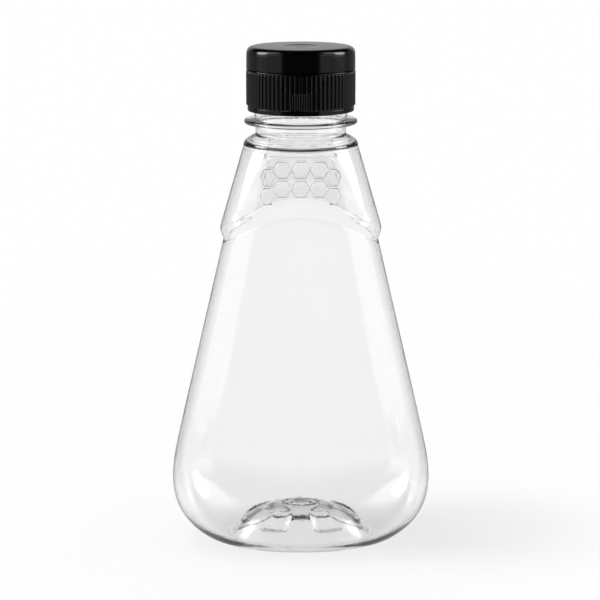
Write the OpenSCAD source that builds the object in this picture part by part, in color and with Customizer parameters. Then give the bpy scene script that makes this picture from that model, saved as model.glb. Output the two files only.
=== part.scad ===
// Squeeze bottle with a flip-top dispensing closure, millimetres, +Z up, origin under the base.

/* [Blown body] */
// Height from the floor to the top of the sloping shoulder
body_h = 154.2; // [140:1:190]
// Greatest width, across the label panel
body_w = 99; // [88:1:120]
// Greatest depth, front to back
body_d = 62; // [55:1:76]
// Height of the widest section
belly_z = 27; // [22:1:34]
// Softness of the bend from the belly into the straight taper
belly_round = 1.1; // [0.6:0.1:2.5]
// How much wider the straight taper would be, carried down to the belly
taper_swell = 1.5; // [1:0.1:2.5]
// Width at the ridge under the shoulder
ridge_w = 61; // [56:0.5:70]
// Depth at the ridge under the shoulder
ridge_d = 49; // [45:0.5:54]
// Height of the ridge at the two sides
ridge_z = 123.7; // [112:0.5:135]
// How far the ridge arches up at the front and back
arch_h = 12; // [0:0.5:16]
// Depth of the waist groove under the ridge, each side
waist_cut = 1; // [0.4:0.1:1.6]
// Squareness of the section at the standing ring, 2 is an ellipse
foot_square = 2.2; // [2:0.1:3]
// Squareness of the section at the belly
belly_square = 3.6; // [2.5:0.1:4]
// Squareness of the section at the ridge
ridge_square = 3.1; // [2.2:0.1:3.6]
// Wall of the blown body
wall = 0.8; // [0.6:0.1:1.2]

/* [Base] */
// Width of the standing ring
foot_w = 56; // [46:1:64]
// Depth of the standing ring
foot_d = 37; // [30:1:46]
// Width of the flat on the standing ring
foot_flat = 1.4; // [0.8:0.1:2]
// Height of the push-up dome
dome_h = 14; // [8:1:18]
// Fullness of the push-up dome, more is a flatter top with steeper sides
dome_full = 3.8; // [2:0.1:5]
// Radius of the gate nub under the dome
nub_r = 3.2; // [2:0.1:5]
// Projection of the gate nub
nub_h = 0.8; // [0.4:0.1:1.5]

/* [Neck finish] */
// Outer radius of the neck wall
neck_r = 17.4; // [14:0.1:21]
// Wall of the neck
neck_wall = 1.8; // [1.4:0.1:2.4]
// Height from the shoulder to the support ring
neck_rise = 9; // [7:0.5:12]
// Overhang of the support ring beyond the neck
ring_over = 3.85; // [3:0.05:5]
// Thickness of the support ring
ring_t = 1.6; // [1.2:0.1:2.4]
// Height from the support ring to the mouth
finish_h = 16.1; // [15.5:0.1:19]
// Height of the collar on top of the shoulder
collar_h = 2.2; // [1.8:0.1:3]
// Overhang of the collar beyond the neck
collar_over = 4.5; // [4.1:0.1:5.5]
// Height of the tamper bead
bead_h = 1; // [0.8:0.1:1.2]
// Overhang of the tamper bead beyond the neck
bead_over = 1.1; // [0.8:0.1:1.2]

/* [Screw thread] */
// Rise of the thread in one turn
lead = 4.2; // [3.8:0.1:5.2]
// Depth of the start of the neck thread below the mouth
thread_start = 7.4; // [6.8:0.1:8]
// Height of the thread above the neck wall
thread_depth = 1.3; // [1:0.05:1.5]
// Width of a thread at its root
thread_root = 2; // [1.6:0.1:2.1]
// Width of a thread at its crest
thread_crest = 1.2; // [0.8:0.1:1.4]
// Turns of thread on the neck
neck_turns = 1.25; // [1:0.25:1.25]
// Turns of thread in the closure
closure_turns = 1.5; // [1:0.25:1.5]

/* [Closure] */
// Height from the support ring to the bottom of the closure
skirt_gap = 5; // [5:0.1:6]
// Wall of the closure skirt, under the ribs
skirt_wall = 1.1; // [1:0.1:1.6]
// Height of the grip ribs above the skirt
rib_h = 0.4; // [0.2:0.05:0.6]
// Number of grip ribs
rib_count = 72; // [48:12:96]
// Thickness of the closure's roof
roof_t = 1.4; // [1.2:0.1:2]
// Height of the tamper band
band_h = 1.5; // [1.3:0.1:1.7]
// Number of break-away bridges on the tamper band
bridge_count = 8; // [4:2:12]
// Radius of the thumb scoop's outline
scoop_r = 11; // [8:0.5:13]
// Depth of the thumb scoop into the ribs
scoop_cut = 0.3; // [0.1:0.05:0.35]
// Thickness of the liner disc
liner_t = 1; // [0.6:0.1:1.4]

/* [Spout and valve] */
// Radius of the spout's opening
spout_r = 5.2; // [4:0.1:6]
// Radius of the valve's flange pocket
pocket_r = 7.2; // [6.6:0.1:8.6]
// Wall of the spout around the pocket
spout_wall = 1.4; // [1:0.1:2]
// Height of the spout above the roof
spout_h = 4.6; // [4.6:0.1:5.4]
// Thickness of the spout's lip over the valve
spout_lip = 2.4; // [1.8:0.1:2.6]
// Thickness of the valve's flange
flange_t = 2; // [1.4:0.1:2]
// Thickness of the valve's slit membrane
membrane_t = 0.5; // [0.4:0.1:0.8]
// Width of the valve's cross slit
slit_w = 0.12; // [0.08:0.02:0.2]

/* [Flip lid] */
// Height of the lid
lid_h = 8.4; // [8.2:0.1:11]
// Wall of the lid
lid_wall = 1.5; // [1.2:0.1:1.6]
// Thickness of the lid's top
lid_top = 1.4; // [1:0.1:1.6]
// Radius of the lid's top edge
lid_round = 1.8; // [1:0.1:2.4]
// Radius of the shallow recess in the lid's top
recess_r = 5.9; // [4:0.1:8]
// Depth of the shallow recess
recess_cut = 0.4; // [0.2:0.1:0.6]
// Half angle of the shallow front facet, degrees
facet_angle = 36; // [20:1:45]
// Depth of the front facet
facet_cut = 0.3; // [0.1:0.05:0.4]
// How far the lid's plug enters the spout
plug_dip = 0.8; // [0.5:0.1:1]
// Width of the living hinge
hinge_w = 12; // [8:0.5:16]
// Thickness of the living hinge
hinge_t = 0.5; // [0.4:0.05:0.8]
// Height of the living hinge on each piece
hinge_reach = 2; // [1.4:0.1:2.6]

/* [Clearances] */
// Radial clearance between closure and neck thread
thread_gap = 0.3; // [0.3:0.05:0.45]
// Gap between pieces that face each other along the axis
face_gap = 0.05; // [0.05:0.01:0.1]
// Gap at the parting lines of the closure
part_gap = 0.3; // [0.3:0.05:0.4]
// Gap under the rim of the closed lid
lid_gap = 0.2; // [0.15:0.05:0.4]
// Radial clearance of the plug in the spout
plug_gap = 0.3; // [0.3:0.05:0.5]
// Radial clearance of the tamper band's lip on the neck
lip_gap = 0.4; // [0.35:0.05:0.5]

/* [Hidden] */
$fn = 96;
CLEAR = [0.86, 0.9, 0.92, 0.45];
BLACK = [0.05, 0.05, 0.055];
SILVER = [0.78, 0.79, 0.8];
SILICONE = [0.9, 0.9, 0.88];
far = 60;
eps = 0.01;
thread_bury = 0.6;
neck_slim = 0.4;
bead_rise = 0.9;
edge_cut = 0.4;

// Heights, from the floor up
collar_z = body_h;
ring_z = body_h + neck_rise;
ring_top = ring_z + ring_t;
skirt_z = ring_top + skirt_gap;
band_z = skirt_z - part_gap - band_h;
mouth_z = ring_top + finish_h;
liner_z = mouth_z + face_gap;
roof_z = liner_z + liner_t + face_gap;
ledge_z = roof_z + roof_t;
spout_top = ledge_z + spout_h;
lid_z = ledge_z + lid_gap;
top_z = lid_z + lid_h;
hinge_z = (ledge_z + lid_z) / 2;

// Radii, from the bore out
bore_r = neck_r - neck_wall;
ring_r = neck_r + ring_over;
collar_r = neck_r + collar_over;
thread_r = neck_r + thread_depth;
skirt_in = thread_r + thread_gap;
skirt_r = skirt_in + skirt_wall;
closure_r = skirt_r + rib_h;
inner_crest = neck_r + thread_gap + 0.2;
band_r = closure_r - 0.5;
lid_r = closure_r - 0.08;
cavity_r = lid_r - lid_wall;
spout_out = pocket_r + spout_wall;
hinge_y = closure_r + 0.3;
hinge_in = closure_r + face_gap;

// One ring of a rounded section: half width, half depth, height, squareness, share of the arch
SEGMENTS = 48;
function signed_power(v, p) = sign(v) * pow(abs(v), p);
function section(w, d, z, square, arch) =
    [for (i = [0:SEGMENTS - 1])
        let (a = 360 * i / SEGMENTS)
        let (x = signed_power(cos(a), 2 / square))
        let (y = signed_power(sin(a), 2 / square))
        [w * x, d * y, z + arch_h * arch * (1 - x * x)]];

// Skin through rings between two poles
function pole_faces(rows, m) = concat(
    [for (j = [0:m - 1]) [0, 1 + j, 1 + (j + 1) % m]],
    [for (i = [0:rows - 2], j = [0:m - 1])
        [1 + i * m + j, 1 + (i + 1) * m + j, 1 + i * m + (j + 1) % m]],
    [for (i = [0:rows - 2], j = [0:m - 1])
        [1 + i * m + (j + 1) % m, 1 + (i + 1) * m + j, 1 + (i + 1) * m + (j + 1) % m]],
    [for (j = [0:m - 1])
        [1 + rows * m, 1 + (rows - 1) * m + (j + 1) % m, 1 + (rows - 1) * m + j]]);

// Body outline: half width or half depth at a height
function mix(a, b, t) = a + (b - a) * t;
function share(z, low, high) = min(1, max(0, (z - low) / (high - low)));
function ease(t) = t * t * (3 - 2 * t);
corner_z = ridge_z + 1.5;
waist_z = ridge_z - 4.6;
groove_z = waist_z - 3;
top_half = collar_r - 0.25;
groove_lip = waist_cut - 0.6;
corner_drop = 0.3;
// Smooth minimum of the belly and the straight taper that runs up to the groove
function soft_min(a, b) = (a + b - sqrt(pow(a - b, 2) + pow(belly_round, 2))) / 2;
function taper(z, half, narrow) = mix(half + taper_swell, narrow, (z - belly_z) / (groove_z - belly_z));
function belly(z, half, narrow) =
    half + soft_min(half + 0.2, taper(z, half, narrow)) - soft_min(half + 0.2, taper(belly_z, half, narrow));
function ridge_line(z, half, ridge) =
    let (narrow = ridge - groove_lip)
    mix(belly(groove_z, half, narrow), ridge, ease(share(z, waist_z, ridge_z)))
        - 0.6 * sin(180 * share(z, groove_z, ridge_z - 1.6));
function outline(z, half, ridge) =
    z < groove_z ? belly(z, half, ridge - groove_lip)
    : z < ridge_z ? ridge_line(z, half, ridge)
    : z < corner_z ? ridge - corner_drop * share(z, ridge_z, corner_z)
    : mix(ridge - corner_drop, top_half, share(z, corner_z, body_h));
function squareness(z) =
    z < belly_z ? mix(foot_square, belly_square, ease(z / belly_z))
    : z < waist_z ? mix(belly_square, ridge_square, ease(share(z, belly_z, waist_z)))
    : mix(ridge_square, 2, pow(share(z, waist_z, body_h), 3));
function arch_share(z) = z < ridge_z
    ? ease(share(z, ridge_z - 45, waist_z))
    : 1 - ease(share(z, corner_z, body_h - 1));

HEEL_STEPS = 7;
DOME_STEPS = 6;
bend_z = mix(belly_z, groove_z, 0.25);
WALL_Z = concat(
    [for (i = [1:4]) mix(belly_z, bend_z, i / 4)],
    [for (i = [1:5]) mix(bend_z, groove_z, i / 5)],
    [waist_z, mix(waist_z, ridge_z, 0.6), ridge_z, corner_z],
    [for (i = [1:4]) mix(corner_z, body_h, i / 4)]);
// Rings of one skin, inset by a wall; the top ring ends inside the collar
function dome_rings(inset) =
    [for (i = [1:DOME_STEPS])
        let (s = i / DOME_STEPS)
        section(s * (foot_w / 2 - foot_flat - inset), s * (foot_d / 2 - foot_flat - inset),
            dome_h * (1 - pow(s, dome_full)) + inset, foot_square, 0)];
function heel_rings(inset) =
    [for (i = [0:HEEL_STEPS])
        let (a = 90 * i / HEEL_STEPS)
        section(mix(foot_w / 2, body_w / 2, sin(a)) - inset, mix(foot_d / 2, body_d / 2, sin(a)) - inset,
            mix(inset, belly_z, 1 - cos(a)), squareness(belly_z * (1 - cos(a))), 0)];
function wall_rings(inset) =
    [for (z = WALL_Z)
        section(outline(z, body_w / 2, ridge_w / 2) - inset, outline(z, body_d / 2, ridge_d / 2) - inset,
            z, squareness(z), arch_share(z))];
function rim(inset) = [section(top_half - inset, top_half - inset, body_h + 1, 2, 0)];
function flip(v) = [for (i = [len(v) - 1:-1:0]) v[i]];

module blown_shell() {
    outer = concat(dome_rings(0), heel_rings(0), wall_rings(0), rim(0));
    inner = concat(dome_rings(wall), heel_rings(wall), wall_rings(wall), rim(wall));
    rings = concat(outer, flip(inner));
    points = concat([[0, 0, dome_h]], [for (r = rings) each r], [[0, 0, dome_h + wall]]);
    polyhedron(points = points, faces = pole_faces(len(rings), SEGMENTS), convexity = 6);
}

// Helical ridge from a buried root to a crest, fading out at both ends
THREAD_STEP = 10;
function thread_ring(root, crest) =
    [[root, thread_root / 2], [root, -thread_root / 2], [crest, -thread_crest / 2], [crest, thread_crest / 2]];
function place(p, a, z) = [p[0] * cos(a), p[0] * sin(a), p[1] + z];
function thread_faces(n) = concat(
    [[0, 1, 2], [0, 2, 3]],
    [for (i = [0:n - 2], j = [0:3]) [i * 4 + j, (i + 1) * 4 + j, i * 4 + (j + 1) % 4]],
    [for (i = [0:n - 2], j = [0:3])
        [i * 4 + (j + 1) % 4, (i + 1) * 4 + j, (i + 1) * 4 + (j + 1) % 4]],
    [[4 * n - 4, 4 * n - 2, 4 * n - 3], [4 * n - 4, 4 * n - 1, 4 * n - 2]]);
module thread(root, surface, crest, z0, turns) {
    n = floor(360 * turns / THREAD_STEP) + 1;
    hidden = surface + 0.3 * sign(root - surface);
    points = [for (i = [0:n - 1])
        let (fade = min(1, min(i, n - 1 - i) / 4))
        let (c = mix(hidden, crest, fade))
        each [for (p = thread_ring(root, c)) place(p, THREAD_STEP * i, z0 + lead * THREAD_STEP * i / 360)]];
    flipped = crest > root;
    faces = thread_faces(n);
    polyhedron(points = points, faces = flipped ? [for (f = faces) flip(f)] : faces, convexity = 4);
}
male_z = mouth_z - thread_start;
female_z = male_z - lead / 2;

module tube(out, in, z, h) {
    translate([0, 0, z])
    difference() {
        cylinder(r = out, h = h);
        translate([0, 0, -1]) cylinder(r = in, h = h + 2);
    }
}

module neck_profile() {
    bead_z = band_z + bead_rise;
    polygon([
        [bore_r, mouth_z],
        [bore_r, collar_z + collar_h + 1],
        [collar_r - 2.1, collar_z + 0.4],
        [collar_r - 2.1, collar_z],
        [collar_r, collar_z],
        [collar_r, collar_z + collar_h - 0.8],
        [collar_r - 0.8, collar_z + collar_h],
        [neck_r + 0.8, collar_z + collar_h],
        [neck_r - neck_slim, collar_z + collar_h + 1.2],
        [neck_r - neck_slim, ring_z],
        [ring_r - edge_cut, ring_z],
        [ring_r, ring_z + edge_cut],
        [ring_r, ring_top - edge_cut],
        [ring_r - edge_cut, ring_top],
        [neck_r, ring_top],
        [neck_r, bead_z],
        [neck_r + bead_over, bead_z],
        [neck_r + bead_over, bead_z + 0.3],
        [neck_r, bead_z + bead_h],
        [neck_r, mouth_z - 0.5],
        [neck_r - 0.5, mouth_z]]);
}

module bottle() {
    color(CLEAR) {
        blown_shell();
        rotate_extrude() neck_profile();
        thread(neck_r - thread_bury, neck_r, thread_r, male_z, neck_turns);
        translate([0, 0, dome_h - nub_h]) cylinder(r = nub_r, h = nub_h + wall / 2);
    }
}

module tamper_band() {
    lip_r = neck_r + lip_gap;
    color(BLACK) {
        rotate_extrude()
        polygon([
            [lip_r, band_z],
            [band_r, band_z],
            [band_r, band_z + band_h],
            [skirt_in - 0.1, band_z + band_h],
            [skirt_in - 0.1, band_z + 0.6],
            [lip_r, band_z + 0.5]]);
        for (i = [0:bridge_count - 1])
            rotate([0, 0, 360 * (i + 0.5) / bridge_count])
            translate([skirt_in + 0.1, -0.4, band_z + band_h - eps])
            cube([0.6, 0.8, part_gap - face_gap + eps]);
    }
}

module liner_disc() {
    color(SILVER)
    translate([0, 0, liner_z])
    cylinder(r = neck_r, h = liner_t);
}

// Outline of the ribbed skirt: a trapezoid for each rib
module rib_outline() {
    step = 360 / rib_count;
    polygon([for (i = [0:rib_count - 1], k = [0:3])
        let (a = step * (i + [-0.3, -0.16, 0.16, 0.3][k]))
        let (r = (k == 1 || k == 2) ? closure_r : skirt_r)
        [r * cos(a), r * sin(a)]]);
}

module hinge_block(z, h, depth) {
    translate([-hinge_w / 2, depth, z])
    cube([hinge_w, hinge_in - depth, h]);
}

module closure_base() {
    rim_r = cavity_r - 0.5;
    color(BLACK) {
        difference() {
            union() {
                difference() {
                    translate([0, 0, skirt_z]) linear_extrude(ledge_z - skirt_z) rib_outline();
                    // Thumb scoop: trims the rib tips under the lid's front
                    intersection() {
                        tube(far, closure_r - scoop_cut, skirt_z - 1, ledge_z - skirt_z + 2);
                        translate([0, 0, ledge_z + 3.5]) rotate([90, 0, 0]) cylinder(r = scoop_r, h = far);
                    }
                }
                hinge_block(ledge_z - hinge_reach, hinge_reach, neck_r);
                translate([0, 0, ledge_z - eps]) tube(rim_r, rim_r - 1, 0, 1.2);
                translate([0, 0, ledge_z - eps]) cylinder(r = spout_out, h = spout_h + eps);
            }
            translate([0, 0, skirt_z - 1]) cylinder(r = skirt_in, h = roof_z - skirt_z + 1);
            translate([0, 0, roof_z - 1]) cylinder(r = pocket_r, h = spout_top - spout_lip - roof_z + 1);
            translate([0, 0, roof_z]) cylinder(r = spout_r, h = far);
        }
        thread(skirt_in + thread_bury, skirt_in, inner_crest, female_z, closure_turns);
    }
}

valve_top = spout_top - spout_lip;
module slit_valve() {
    cup = flange_t - 1.2;
    color(SILICONE)
    difference() {
        rotate_extrude()
        polygon([
            [0, valve_top - flange_t + cup - membrane_t],
            [spout_r - 0.8, valve_top - flange_t + cup - membrane_t],
            [spout_r - 0.6, valve_top - flange_t],
            [pocket_r - face_gap, valve_top - flange_t],
            [pocket_r - face_gap, valve_top - face_gap],
            [spout_r - 0.2, valve_top - face_gap],
            [spout_r - 0.4, valve_top - flange_t + cup],
            [0, valve_top - flange_t + cup]]);
        for (turn = [0, 90])
            rotate([0, 0, turn])
            translate([-spout_r / 2, -slit_w / 2, valve_top - flange_t - 2])
            cube([spout_r, slit_w, flange_t + 2]);
    }
}

module valve_retainer() {
    color(BLACK)
    tube(pocket_r, spout_r - 0.5, roof_z + face_gap, valve_top - flange_t - roof_z - 2 * face_gap);
}

module living_hinge() {
    color(BLACK)
    translate([-hinge_w / 2, hinge_in, ledge_z - hinge_reach])
    cube([hinge_w, hinge_t, lid_z - ledge_z + 2 * hinge_reach]);
}

module lid_profile() {
    difference() {
        union() {
            translate([0, lid_z]) square([lid_r, lid_h - lid_round]);
            translate([0, lid_z]) square([lid_r - lid_round, lid_h]);
            translate([lid_r - lid_round, top_z - lid_round]) circle(r = lid_round);
        }
        translate([-far, 0]) square([far, top_z + 1]);
        translate([-1, top_z - recess_cut]) square([recess_r + 1, 1]);
    }
}

module flip_lid() {
    ceiling = top_z - lid_top;
    plug_r = spout_r - plug_gap;
    color(BLACK) {
        difference() {
            union() {
                rotate_extrude() lid_profile();
                translate([-hinge_w / 2, neck_r, lid_z]) cube([hinge_w, hinge_in - face_gap - neck_r, hinge_reach]);
            }
            translate([0, 0, lid_z - 1]) cylinder(r = cavity_r, h = ceiling - lid_z + 1);
            // Shallow front facet
            rotate([0, 0, -90 - facet_angle])
            translate([0, 0, lid_z - 1])
            rotate_extrude(angle = 2 * facet_angle)
            translate([lid_r - facet_cut, 0]) square([2, lid_h - lid_round - 0.4 + 1]);
        }
        translate([0, 0, spout_top - plug_dip])
        cylinder(r = plug_r, h = ceiling - spout_top + plug_dip + eps);
    }
}

bottle();
tamper_band();
liner_disc();
closure_base();
slit_valve();
valve_retainer();
living_hinge();
flip_lid();
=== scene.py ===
"""Clear squeeze bottle with a black flip-top closure, standing on a white sweep. Metres, +Z up."""

import math

import bpy
import numpy as np
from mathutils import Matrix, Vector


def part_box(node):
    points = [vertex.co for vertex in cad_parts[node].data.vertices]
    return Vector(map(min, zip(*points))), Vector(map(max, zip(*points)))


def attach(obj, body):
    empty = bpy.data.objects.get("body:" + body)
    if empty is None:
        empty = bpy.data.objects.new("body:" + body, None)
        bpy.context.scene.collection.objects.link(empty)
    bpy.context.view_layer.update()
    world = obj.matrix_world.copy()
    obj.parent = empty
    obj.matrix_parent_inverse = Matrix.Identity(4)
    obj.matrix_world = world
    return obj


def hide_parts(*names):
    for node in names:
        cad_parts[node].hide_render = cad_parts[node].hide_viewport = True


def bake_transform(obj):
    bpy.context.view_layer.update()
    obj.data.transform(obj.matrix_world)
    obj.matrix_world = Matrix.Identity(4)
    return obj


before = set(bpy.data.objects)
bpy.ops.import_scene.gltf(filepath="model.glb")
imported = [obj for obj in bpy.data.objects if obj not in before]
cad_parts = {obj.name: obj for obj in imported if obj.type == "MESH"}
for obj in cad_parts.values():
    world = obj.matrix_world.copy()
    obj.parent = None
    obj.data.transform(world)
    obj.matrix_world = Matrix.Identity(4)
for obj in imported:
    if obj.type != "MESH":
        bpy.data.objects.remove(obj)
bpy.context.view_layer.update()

MM = 0.001

# ---------------------------------------------------------------- sizes, millimetres, from the frame
_, bottle_high = (np.array(c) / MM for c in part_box("bottle"))
base_low, base_high = (np.array(c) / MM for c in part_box("closure_base"))
lid_low, lid_high = (np.array(c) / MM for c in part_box("flip_lid"))
band_low, band_high = (np.array(c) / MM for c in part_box("tamper_band"))
hinge_low, hinge_high = (np.array(c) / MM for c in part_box("living_hinge"))
_, valve_high = (np.array(c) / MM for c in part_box("slit_valve"))

# Blown body
HALF_WIDTH = bottle_high[0]
HALF_DEPTH = bottle_high[1]
BELLY_Z = 27.0
RIDGE_HALF_WIDTH = 30.5
RIDGE_HALF_DEPTH = 24.5
RIDGE_Z = 123.7
ARCH_H = 12.0
CORNER_Z = RIDGE_Z + 1.5
WAIST_Z = RIDGE_Z - 4.6
GROOVE_Z = WAIST_Z - 3.0
BODY_H = 154.2
TOP_HALF = 21.75
FOOT_HALF_WIDTH = 28.0
FOOT_HALF_DEPTH = 18.5
FOOT_FLAT = 1.4
DOME_H = 14.0
DOME_POWER = 3.8
NUB_H = 0.9
NUB_REACH = 0.13
NUB_EDGE = 0.05
GATE_RING_H = 0.4
GATE_RING_AT = 0.245
GATE_RING_WIDTH = 0.025
PETAL_COUNT = 6
PETAL_DEPTH = 1.5
PETAL_START = (0.46, 0.72)
PETAL_END = (0.78, 0.87)
PETAL_EDGE = 1.0
WALL = 0.8
DOME_EXTRA = 1.25
HEEL_EXTRA = 0.35
FOOT_SQUARE = 2.2
BELLY_SQUARE = 3.6
RIDGE_SQUARE = 3.1
BELLY_BLEND = 1.1
BELLY_PROUD = 1.5
RIDGE_STEP = 0.4
GROOVE_CUT = 0.55
SHOULDER_SLOPE = 0.281
BOTTLE_COLUMNS = 224

# Honeycomb: a column is its distance from the middle, the height between its two pads, and how thin
# they are
HEX_COLUMNS = ((0.0, 144.9, 1.0), (6.85, 144.9, 1.0), (12.2, 142.1, 1.35))
HEX_HALF_PITCH = 3.35
PANEL_TOP = 153.2
PANEL_LOW = 136.5
PANEL_HALF_TOP = 12.4
PANEL_HALF_LOW = 16.6
PANEL_FLOOR = CORNER_Z + 0.9
PANEL_ARCH = 27.0
PANEL_CORNER = 2.5
PANEL_CUT = 0.32
PAD_H = 0.28
RELIEF_EDGE = 0.8
BACK_RELIEF = 0.6
INNER_RELIEF = 0.15
CELL_R = 3.4
CELLS = [
    (side * x, z + up * HEX_HALF_PITCH, thin)
    for x, z, thin in HEX_COLUMNS for side in (-1, 1) for up in (-1, 1)]

# Neck finish
NECK_R = 17.4
BORE_R = 15.6
RING_Z = BODY_H + 9.0
RING_TOP = RING_Z + 1.6
RING_R = NECK_R + 3.85
MOUTH_Z = bottle_high[2]
LEAD = 4.2
THREAD_DEPTH = 1.3
NECK_TURNS = 1.25
THREAD_CREST = 0.6
THREAD_ROOT = 1.0
THREAD_FADE = 0.6
MALE_Z = MOUTH_Z - 7.4
BEAD_Z = band_low[2] + 0.9

# Closure
CLOSURE_R = base_high[0]
RIB_H = 0.4
RIB_COUNT = 72
SKIRT_R = CLOSURE_R - RIB_H
SKIRT_IN = 19.0
FEMALE_TURNS = 1.5
FEMALE_DEPTH = 1.1
SCOOP_R = 11.0
SCOOP_UP = 3.5
SCOOP_EDGE = 0.6
SCOOP_SHARE = 0.55
SKIRT_Z = base_low[2]
ROOF_Z = MOUTH_Z + 1.1
LEDGE_Z = ROOF_Z + 1.4
SPOUT_TOP = base_high[2]
SPOUT_R = 5.2
POCKET_R = 7.2
SPOUT_OUT = POCKET_R + 1.4
LID_R = CLOSURE_R - 0.08
LID_Z = lid_low[2]
TOP_Z = lid_high[2]
LID_ROUND = 1.8
LID_ROUND_REACH = LID_ROUND + 1.0
CAVITY_R = LID_R - 1.5
CEILING_Z = TOP_Z - 1.4
RECESS_R = 5.9
RECESS_CUT = 0.25
DIMPLE_H = 0.14
PLUG_R = SPOUT_R - 0.3
FACET_ANGLE = math.radians(36)
FACET_EDGE = math.radians(1.6)
FACET_CUT = 0.3
BAND_R = band_high[0]
BRIDGE_COUNT = 8
BRIDGE_H = 0.05
HINGE_IN = hinge_low[1]
HINGE_OUT = hinge_high[1]
HINGE_HALF = hinge_high[0]
HINGE_MID = (LEDGE_Z + LID_Z) / 2
FILM_HALF = 0.42
FREE_HALF = 0.8

# Studio: light round the horizon by the Y part of a direction, from the dark card in front to the back.
# A lamp is a direction, the cosines of its outer edge and of its core, and its strength.
AROUND = ((-0.80, 0.02), (-0.70, 1.2), (0.1, 1.2), (0.4, 0.22), (0.8, 0.22), (0.95, 0.6))
# Painted reflection: how bright the floor glows in mirrored rays, round the horizon
FLOOR_AROUND = ((-0.80, 0.03), (-0.70, 0.48), (0.1, 0.48), (0.4, 0.2))
WALL_TOP = 0.38
WALL_FADE = 0.1
CEILING_LIGHT = 0.05
HORIZON_LIGHT = 0.8
HORIZON_TOP = 0.35
LAMPS = (
    ((-0.85, 0.12, 0.42), 0.95, 0.99, 9.0),
    ((0.85, 0.12, 0.42), 0.95, 0.99, 8.0),
    ((-0.70, -0.08, 0.66), 0.93, 0.985, 2.6),
    ((0.70, -0.08, 0.66), 0.93, 0.985, 2.4),
)
FLOOR_HALF = 8.0
FLOOR_WHITE = (0.86, 0.86, 0.86, 1)
WORLD_WHITE = (0.98, 0.98, 0.98, 1)
FILL_WHITE = (0.78, 0.78, 0.78, 1)
SUN_ENERGY = 1.27
SUN_ANGLE = math.radians(24)
SUN_TURN = (math.radians(3), math.radians(-21), 0)
CAMERA_PLACE = (0, -0.7602, 0.2633)
CAMERA_DOWN = math.radians(12.49)
CAMERA_LENS = 121.9
CAMERA_SHIFT = -0.8 / 600

# Finishes: linear colours, and the lowest and highest roughness
BLACK_DARK = (0.0004, 0.0004, 0.0005)
BLACK_LIGHT = (0.0011, 0.0011, 0.0012)
BLACK_ROUGH = (0.06, 0.11)
PET_IOR = 1.57
PET_ROUGH = (0.0, 0.03)
PET_TINT = (0.988, 0.988, 0.988)
# Painted shade: a greyer colour for the honeycomb window, standing in for the darker reflections of its
# flat panel
PET_PANEL_PAINTED_SHADE = (0.93, 0.93, 0.93)
PET_PASS = (0.985, 0.985, 0.985, 1)
PET_ABSORBS = (0.8, 0.8, 0.8, 1)
PET_DENSITY = 80.0
PET_BUMP = 0.0003
RIPPLE_SHARE = 0.3
PAD_SHARE = 1.5
PANEL_SHARE = 0.7
FOIL_DARK = (0.62, 0.63, 0.65)
FOIL_LIGHT = (0.8, 0.81, 0.82)
FOIL_ROUGH = (0.22, 0.42)
SILICONE_DARK = (0.72, 0.72, 0.69)
SILICONE_LIGHT = (0.8, 0.8, 0.77)
SILICONE_ROUGH = (0.42, 0.55)


# ---------------------------------------------------------------- helpers
def mix(a, b, t):
    """a at t = 0, b at t = 1, straight between."""
    return a + (b - a) * t


def share(v, low, high):
    """How far v is from low to high, held between 0 and 1."""
    return np.clip((v - low) / (high - low), 0.0, 1.0)


def ease(t):
    """3t^2 - 2t^3: level at both ends."""
    return t * t * (3 - 2 * t)


def soft_step(v, edge, width):
    """0 below edge - width / 2, 1 above edge + width / 2, with an S between."""
    return ease(share(v, edge - width / 2, edge + width / 2))


def rounded_path(corners, steps=5):
    """A polyline of (r, z, rounding) corners; each rounded corner becomes the quadratic curve
    (1-t)^2 a + 2t(1-t) corner + t^2 b between points a and b one rounding away along its sides."""
    pts = np.array([c[:2] for c in corners], float)
    out = [pts[:1]]
    for i in range(1, len(pts) - 1):
        before = pts[i - 1] - pts[i]
        after = pts[i + 1] - pts[i]
        room = 0.49 * min(np.linalg.norm(before), np.linalg.norm(after))
        size = min(corners[i][2], room)
        if size <= 0:
            out.append(pts[i : i + 1])
            continue
        a = pts[i] + size * before / np.linalg.norm(before)
        b = pts[i] + size * after / np.linalg.norm(after)
        t = np.linspace(0, 1, steps)[:, None]
        out.append((1 - t) ** 2 * a + 2 * t * (1 - t) * pts[i] + t**2 * b)
    out.append(pts[-1:])
    return np.concatenate(out)


def grid_object(name, points, ring=False, start_pole=None, end_pole=None):
    """A mesh from points[row, column] in millimetres. Columns wrap round; rows wrap too if ring is
    true; a pole closes an open end with a fan. With rows rising up the outside and columns running
    anticlockwise from above, the faces point outwards."""
    rows, cols = points.shape[:2]
    verts = points.reshape(-1, 3)
    i = np.arange(rows if ring else rows - 1)[:, None]
    j = np.arange(cols)[None, :]
    nxt_i = (i + 1) % rows
    nxt_j = (j + 1) % cols
    quads = np.stack([i * cols + j, i * cols + nxt_j, nxt_i * cols + nxt_j, nxt_i * cols + j], -1)
    faces = quads.reshape(-1, 4).tolist()
    ring_j = np.arange(cols)
    if start_pole is not None:
        verts = np.vstack([verts, start_pole])
        pole = np.full(cols, len(verts) - 1)
        faces += np.stack([pole, (ring_j + 1) % cols, ring_j], -1).tolist()
    if end_pole is not None:
        verts = np.vstack([verts, end_pole])
        pole = np.full(cols, len(verts) - 1)
        last = (rows - 1) * cols
        faces += np.stack([pole, last + ring_j, last + (ring_j + 1) % cols], -1).tolist()
    mesh = bpy.data.meshes.new(name)
    mesh.from_pydata((verts * MM).tolist(), [], faces)
    mesh.polygons.foreach_set("use_smooth", np.ones(len(mesh.polygons), bool))
    mesh.update()
    obj = bpy.data.objects.new(name, mesh)
    bpy.context.scene.collection.objects.link(obj)
    return obj


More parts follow.
